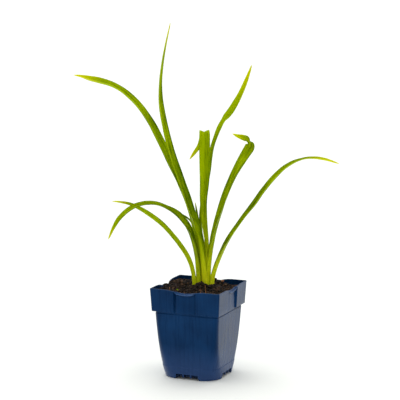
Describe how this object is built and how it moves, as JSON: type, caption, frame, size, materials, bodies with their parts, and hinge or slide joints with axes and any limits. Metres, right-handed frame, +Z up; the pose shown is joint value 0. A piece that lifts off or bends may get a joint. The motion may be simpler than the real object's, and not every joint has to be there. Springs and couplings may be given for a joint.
{
  "type": "potted young daylily without flowers",
  "caption": "Young daylily grown for its flowers, here in leaf only: a fan of arching, keeled strap leaves in a square nursery pot of compost.",
  "frame": {"origin": "middle of the pot on the surface that its corner feet stand on", "axes": "+Z up, X and Y square to the pot's sides; the fan of leaves is turned 23 degrees from X towards Y"},
  "size_m": [0.3086, 0.1156, 0.4246],
  "materials": {
    "pot_plastic": "satin injection-moulded polypropylene, navy blue",
    "compost": "loose dark brown peat compost with bark",
    "root": "pale fleshy root",
    "leaf": "smooth leaf with a soft sheen, yellow-green"
  },
  "bodies": {
    "root": {"pot": "pot_plastic", "potting_soil": "compost", "crown_and_roots": "root", "leaf_long_arching_left": "leaf", "leaf_tallest": "leaf", "leaf_centre_folded_over": "leaf", "leaf_upright_right": "leaf", "leaf_kinked_right": "leaf", "leaf_arching_right": "leaf", "leaf_drooping_left": "leaf", "leaf_low_left": "leaf", "leaf_short_inner": "leaf", "leaf_small_side": "leaf"}
  },
  "joints": []
}
